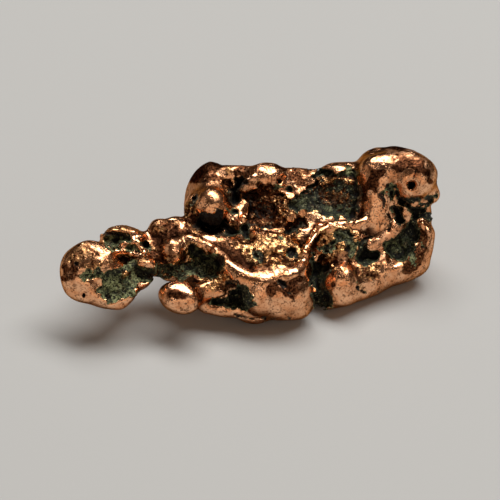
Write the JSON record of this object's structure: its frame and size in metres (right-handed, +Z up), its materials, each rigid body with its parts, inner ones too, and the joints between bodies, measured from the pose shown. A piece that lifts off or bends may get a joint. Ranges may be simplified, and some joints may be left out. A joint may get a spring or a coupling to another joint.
{
  "type": "native copper nugget",
  "caption": "Tumbled native copper nugget: rounded lumps and a curling ridge around dark hollows of greenish residue, resting on worn feet.",
  "frame": {"origin": "centre of the bounding box's bottom face, on the table it rests on", "axes": "+X along the nugget's length towards its thick rolled end; +Z up from the table; -Y the side its broad hollowed face leans towards"},
  "size_m": [0.0476, 0.024, 0.0166],
  "materials": {
    "native_copper": "native copper tumbled to a satin shine on the lumps, with dark green-black mineral residue left in the hollows"
  },
  "bodies": {
    "root": {"copper_nugget": "native_copper"}
  },
  "joints": []
}
